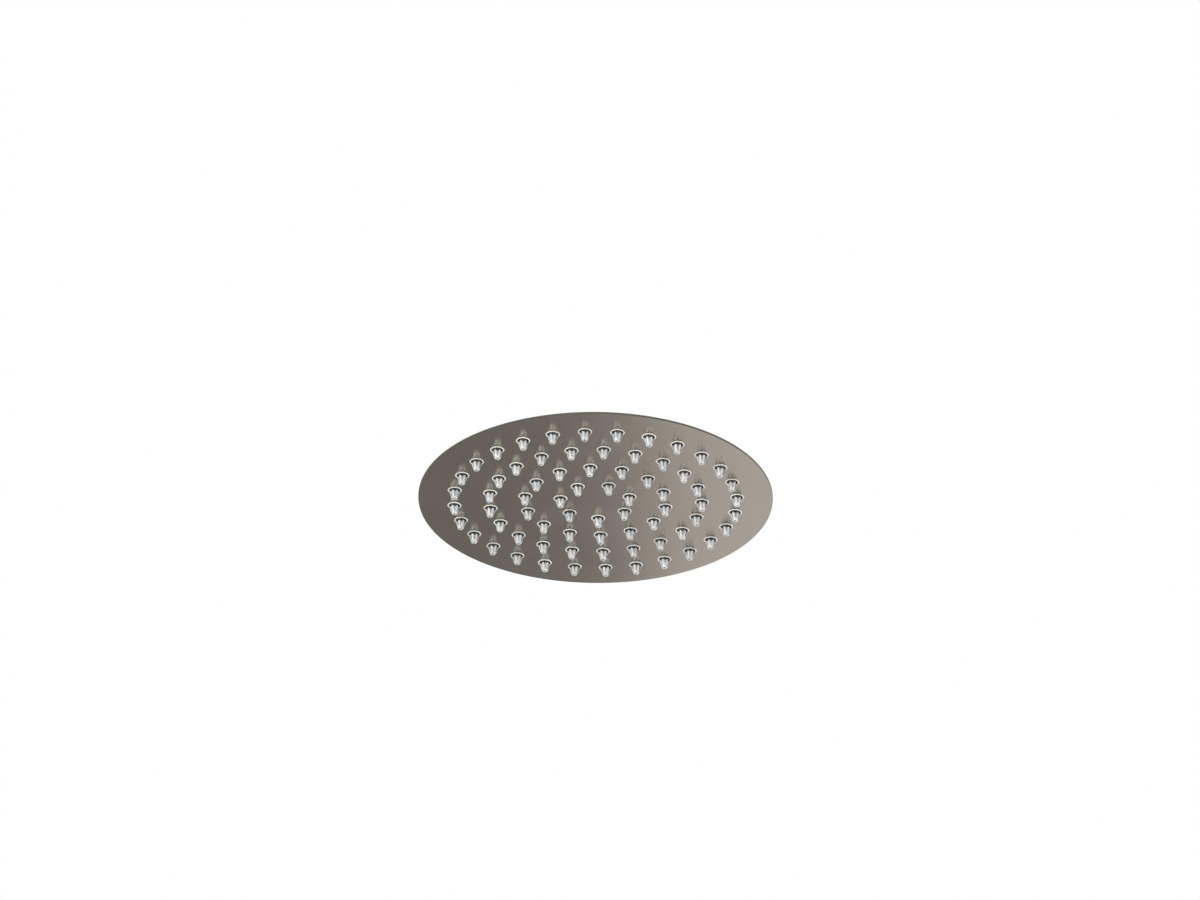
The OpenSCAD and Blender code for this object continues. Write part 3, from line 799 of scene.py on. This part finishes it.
def boss_outline(turn):
    """Pocket, chamfered mouth, helical thread, shoulder on the hub, spigot and bore."""
    thread = []
    for k in range(int((boss_top - boss_chamfer - hub_top - shoulder_h) / boss_step)):
        height = boss_top - boss_chamfer - boss_step * k
        wave = (height / boss_pitch - turn / (2 * math.pi)) % 1
        thread.append((boss_r - boss_thread_h * abs(2 * wave - 1), height))
    return (
        [(pocket_r, boss_top), (boss_r - boss_chamfer, boss_top)] + thread
        + [(boss_r - boss_thread_h, hub_top + shoulder_h), (boss_r, hub_top + shoulder_h - 0.1),
           (boss_r, hub_top), (spigot_r, hub_top), (spigot_r, hub_top - hub_t),
           (boss_bore_r, hub_top - hub_t), (boss_bore_r, pocket_z), (pocket_r, pocket_z)]
    )


lathe_waves = 3500
plate_cloud_waves = 60.0


def plated(name, colour, roughness):
    """Brass under a thin satin plate, turned on a lathe: faint rings and soft clouds."""
    made = Finish(name, Metallic=1.0)
    point, x, y, z = made.place()
    radius = (x * x + y * y) ** 0.5
    turned = made.point(radius * lathe_waves, 0.0, z * lathe_waves)
    rings = made.noise(turned, 1.0, 2.0)
    clouds = made.noise(point, plate_cloud_waves, 3.0)
    made.set(
        Base_Color=made.shade(colour, 0.97 + 0.05 * rings + 0.06 * (clouds - 0.5)),
        Roughness=roughness + 0.06 * (rings - 0.5) + 0.06 * (clouds - 0.5),
    )
    made.bump(rings, 0.003 * mm)
    return made


nickel_brass = plated("nickel_brass", (0.56, 0.54, 0.51), roughness=0.2)
boss_mesh = spun("threaded_boss", boss_outline, even_turns(boss_sides))
boss = new_piece("threaded_boss", boss_mesh, nickel_brass)
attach(boss, "head")
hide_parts("neck_boss")


# Collar nut: a hexagon of nickel-plated brass, chamfered at both ends and turned out inside to
# the round seat of the ball's liner.
nut_low_corner, nut_high_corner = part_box("collar_nut")
nut_low = nut_low_corner.z / mm
nut_high = nut_high_corner.z / mm
nut_flats = 33
ball_z = -24
seat_r = 12.65
mouth_r = 10.7
corner_r = nut_flats / 2 / math.cos(math.pi / 6)
nut_edge_r = 15.9
nut_slope = 0.62
foot_edge_r = corner_r - 0.8
foot_slope = 0.58
nut_bore_r = boss_r + 0.05
nut_mouth_edge = 0.3
nut_crease = 28
nut_sides = 144
seat_steps = 8
seat_end = math.acos(mouth_r / seat_r)
seat_points = [
    (seat_r * math.cos(t), ball_z + seat_r * math.sin(t))
    for t in (seat_end * (1 - k / seat_steps) for k in range(seat_steps + 1))
]


def nut_outline(turn):
    """The nut's outline, whose flats end where the two chamfers' cones meet them."""
    flat = nut_flats / 2 / math.cos(turn % (math.pi / 3) - math.pi / 6)
    return (
        [(nut_bore_r + nut_mouth_edge, nut_low), (min(flat, foot_edge_r), nut_low),
         (flat, nut_low + 0.02 + foot_slope * max(0, flat - foot_edge_r)),
         (flat, nut_high - nut_slope * (flat - nut_edge_r)), (nut_edge_r, nut_high),
         (mouth_r + nut_mouth_edge, nut_high), (mouth_r, nut_high - nut_mouth_edge)]
        + seat_points
        + [(seat_r, boss_top), (nut_bore_r, boss_top), (nut_bore_r, nut_low + nut_mouth_edge)]
    )


nut_mesh = spun("hexagon_nut", nut_outline, even_turns(nut_sides))
nut = new_piece("hexagon_nut", nut_mesh, nickel_brass, nut_crease)
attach(nut, "head")
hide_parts("collar_nut")


# Ball and inlet: turned from one brass bar and plated. The socket has the parallel G1/2 pipe
# thread inside and two spanner flats outside.
socket_r = 13
socket_h = 12.5
socket_flats = 24
socket_edge = 0.8
ball_r = 10.5
ball_flat = 9
ball_steps = 24
neck_r = 6.3
neck_fillet = 0.6
bore_r = 4
bore_edge = 0.3
thread_r = 9.3
thread_l = 8
thread_pitch = 1.814
thread_h = 1.08
thread_lead = 0.5
thread_flank = 4.4
thread_step = 0.11
mouth_l = 1.4
mouth_step = 0.05
relief_r = 10.4
thread_depth = 10.6
seat_depth = 13.6
regulator_r = 5.05
mouth_chamfer_r = 10.6
inlet_crease = 32
inlet_sides = 180
ball_end = math.asin(ball_flat / ball_r)
neck_end = math.acos(neck_r / ball_r)
ball_points = []
for k in range(ball_steps + 1):
    turn = neck_end - (neck_end + ball_end) * k / ball_steps
    ball_points.append((ball_r * math.cos(turn), ball_z + ball_r * math.sin(turn)))
thread_steps = [
    -thread_l + thread_step * k for k in range(round((thread_l - mouth_l) / thread_step))
]
thread_steps += [-mouth_l + mouth_step * k for k in range(round(mouth_l / mouth_step))]


def thread_at(height, turn):
    """Radius inside the helical pipe thread, which runs out at its end and has a chamfer."""
    wave = (height / thread_pitch - turn / (2 * math.pi)) % 1
    groove = min(1, max(0, 1.5 - abs(wave - 0.5) * thread_flank))
    lead = min(1, (height + thread_l) / thread_lead)
    return max(thread_r + thread_h * groove * lead, mouth_chamfer_r + height)


def inlet_outline(turn):
    """Socket with its two spanner flats, neck, ball, water way, washer seat and thread."""
    flat = socket_flats / 2 / max(0.1, abs(math.cos(turn)))
    outer = min(socket_r, flat)
    inner = min(socket_r - socket_edge, flat)
    drop = outer - inner + 0.01
    return (
        [(mouth_chamfer_r, 0), (inner, 0), (outer, -drop), (outer, drop - socket_h),
         (inner, -socket_h), (neck_r + neck_fillet, -socket_h),
         (neck_r + 0.3 * neck_fillet, -socket_h - 0.3 * neck_fillet),
         (neck_r, -socket_h - neck_fillet)]
        + ball_points
        + [(bore_r + bore_edge, ball_z - ball_flat),
           (bore_r, ball_z - ball_flat + bore_edge), (bore_r, -seat_depth),
           (regulator_r, -seat_depth), (regulator_r, -thread_depth), (relief_r, -thread_depth),
           (relief_r, -thread_l)]
        + [(thread_at(z, turn), z) for z in thread_steps]
    )


flat_turn = math.acos(socket_flats / 2 / socket_r)
flat_ends = [flat_turn, math.pi - flat_turn, math.pi + flat_turn, 2 * math.pi - flat_turn]
inlet_turns = sorted(even_turns(inlet_sides) + flat_ends)
inlet_mesh = spun("ball_and_inlet", inlet_outline, inlet_turns)
inlet = new_piece("ball_and_inlet", inlet_mesh, nickel_brass, inlet_crease)
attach(inlet, "root")
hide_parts("inlet_ball")


# Liner, rubber rings and washer: white acetal round the ball, and black rubber moulded with
# rounded corners where water has to be held back.
moulded_waves = 130.0
skin_waves = 2600.0


def plain(name, colour, roughness, speckle, **constants):
    """A moulded, cast or plain metal finish: slight clouds in its colour and a fine skin."""
    made = Finish(name, **constants)
    point, _, _, _ = made.place()
    clouds = made.noise(point, moulded_waves, 3.0)
    skin = made.noise(point, skin_waves, 2.0)
    made.set(
        Base_Color=made.shade(colour, 1 + speckle * (clouds + 0.6 * skin - 0.8)),
        Roughness=roughness + 0.12 * (skin - 0.5),
    )
    made.bump(skin, 0.006 * mm)
    return made


def dress(names, finish):
    """Gives CAD nodes whose shape is right their finish."""
    for name in names:
        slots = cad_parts[name].data.materials
        slots.clear()
        slots.append(finish.material)


white_plastic = plain("white_plastic", (0.80, 0.80, 0.76), 0.4, 0.08)
black_rubber = plain("black_rubber", (0.035, 0.035, 0.035), 0.6, 0.3)
dress(["ball_liner"], white_plastic)


def flat_ring(box, inner_r, outer_r, fillet):
    """The rounded outline of a flat rubber ring, as high as the box of the node it replaces."""
    low, high = box
    return rounded([
        (inner_r, low.z / mm, fillet), (outer_r, low.z / mm, fillet),
        (outer_r, high.z / mm, fillet), (inner_r, high.z / mm, fillet),
    ])


seal_low, seal_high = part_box("ball_seal")
ring_t = (seal_high.z - seal_low.z) / 2 / mm
ring_r = seal_high.x / mm - ring_t
ring_z = (seal_high.z + seal_low.z) / 2 / mm
cord_sides = 24
ring_outline = [(ring_r + ring_t * math.cos(t), ring_z + ring_t * math.sin(t))
                for t in even_turns(cord_sides)]
washer_outline = flat_ring(
    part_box("inlet_washer"), inner_r=5.6, outer_r=relief_r - 0.2, fillet=0.3
)
gasket_outline = flat_ring(
    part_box("generator_gasket"), inner_r=20.2, outer_r=21.5, fillet=0.15
)
rubber_sides = 96
rubber_pieces = [
    ("rubber_ring", "ball_seal", "head", ring_outline),
    ("rubber_washer", "inlet_washer", "root", washer_outline),
    ("rubber_gasket", "generator_gasket", "head", gasket_outline),
]
for name, node, body, outline in rubber_pieces:
    rubber = new_piece(name, spun(name, outline, even_turns(rubber_sides)), black_rubber)
    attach(rubber, body)
    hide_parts(node)


# Filter and flow limiter: a steel disc full of holes lies on the washer and keeps grit out. The
# green limiter drops into the ball's throat below it.
filter_steel = plain("filter_steel", (0.52, 0.52, 0.51), 0.28, 0.12, Metallic=1.0)
regulator_plastic = plain("regulator_plastic", (0.16, 0.40, 0.25), 0.4, 0.12)
dress(["filter_screen"], filter_steel)
dress(["flow_regulator"], regulator_plastic)


# Generator: a black moulded cup with a white jet ring in it, screwed up against three studs in the
# hub. The flat coil lies under the rotor, wound from fine enamelled wire.
dark_plastic = plain("dark_plastic", (0.05, 0.053, 0.058), 0.42, 0.25)
fastener_steel = plain("fastener_steel", (0.60, 0.59, 0.57), 0.25, 0.10, Metallic=1.0)
lead_insulation = plain("lead_insulation", (0.42, 0.04, 0.03), 0.4, 0.12)
dress(["generator_base"], dark_plastic)
dress(["jet_ring"], white_plastic)
dress(["generator_studs", "generator_screws", "rotor_axle", "stator_plate"], fastener_steel)
dress(["generator_leads"], lead_insulation)

wire_d = 0.25 * mm
copper_colour = (0.62, 0.27, 0.11)
copper_wire = Finish("copper_wire", Metallic=1.0)
_, x, y, z = copper_wire.place()
coil_r = (x * x + y * y) ** 0.5
wires = abs((coil_r + z) / wire_d % 1 - 0.5) * 2
shine = copper_wire.noise(copper_wire.point(coil_r / wire_d, z / wire_d, x / coil_r), 0.9, 2.0)
# The colour darkens towards the gaps between the turns of wire: painted shade.
copper_wire.set(
    Base_Color=copper_wire.shade(copper_colour, (1.1 - 0.5 * wires) * (0.8 + 0.4 * shine)),
    Roughness=0.24 + 0.12 * shine,
)
copper_wire.bump(1 - wires * wires, 0.1 * mm)
dress(["stator_coil"], copper_wire)


# LED ring: a white circuit board in a clear channel, sealed from above with resin. Each LED is a
# white frame round a yellow spot of phosphor, and copper tracks run under the board's lacquer.
led_count = 12
led_at = 50 * mm
lacquer_colour = (0.82, 0.84, 0.82)
track_colour = (0.66, 0.68, 0.63, 1)
frame_colour = (0.84, 0.84, 0.81)
phosphor_colour = (0.82, 0.62, 0.09, 1)
clear_plastic = plain(
    "clear_plastic", (0.93, 0.96, 0.97), 0.08, 0.03, IOR=1.58, Transmission_Weight=0.92
)
resin = plain("resin", (0.70, 0.70, 0.64), 0.22, 0.15)
dress(["led_cover"], clear_plastic)
dress(["potting"], resin)
dress(["led_studs", "led_screws"], fastener_steel)

board_white = Finish("board_white")
board_point, x, y, z = board_white.place()
off_middle = abs((x * x + y * y) ** 0.5 - led_at) / mm
off_led = board_white.spots(x, y, led_count, led_at) / mm
track = board_white.ramp(off_middle / 10, (0.30, 0), (0.31, 1), (0.40, 1), (0.41, 0))
pad = board_white.ramp(off_led / 10, (0.25, 1), (0.27, 0))
lacquer = board_white.noise(board_point, 500.0, 2.0)
lacquered = board_white.shade(lacquer_colour, 0.97 + 0.06 * lacquer)
board_white.set(
    Base_Color=board_white.mix(track, lacquered, track_colour),
    Roughness=0.34 + 0.1 * lacquer - 0.1 * pad,
)
board_white.bump(track + pad, 0.035 * mm)
dress(["led_board"], board_white)

led_package = Finish("led_package", Coat_Weight=0.4)
led_point, x, y, z = led_package.place()
off_led = led_package.spots(x, y, led_count, led_at) / mm
spot = led_package.ramp(off_led / 10, (0.105, 1), (0.115, 0))
grain = led_package.noise(led_point, 5000.0, 2.0)
framed = led_package.shade(frame_colour, 0.95 + 0.1 * grain)
led_package.set(
    Base_Color=led_package.mix(spot, framed, phosphor_colour),
    Roughness=0.36 - 0.2 * spot,
)
led_package.bump(grain * (1 - spot), 0.01 * mm)
dress(["leds"], led_package)


# Rotor: a blue bladed wheel with a black ring magnet pressed in under its lid, on two bushes of
# porous bronze.
rotor_plastic = plain("rotor_plastic", (0.12, 0.25, 0.42), 0.38, 0.12)
magnet = plain("magnet", (0.06, 0.06, 0.065), 0.5, 0.5)
dress(["turbine_rotor"], rotor_plastic)
dress(["rotor_magnet"], magnet)

bronze_colour = (0.56, 0.42, 0.21, 1)
pore_colour = (0.16, 0.11, 0.06, 1)
bush_bronze = Finish("bush_bronze", Metallic=1.0)
bush_point, _, _, _ = bush_bronze.place()
pores = bush_bronze.ramp(bush_bronze.noise(bush_point, 9000.0, 2.0), (0.55, 0), (0.68, 1))
bush_bronze.set(
    Base_Color=bush_bronze.mix(pores, bronze_colour, pore_colour),
    Roughness=0.34 + 0.3 * pores,
)
bush_bronze.bump(1 - pores, 0.03 * mm)
dress(["upper_bush", "lower_bush"], bush_bronze)
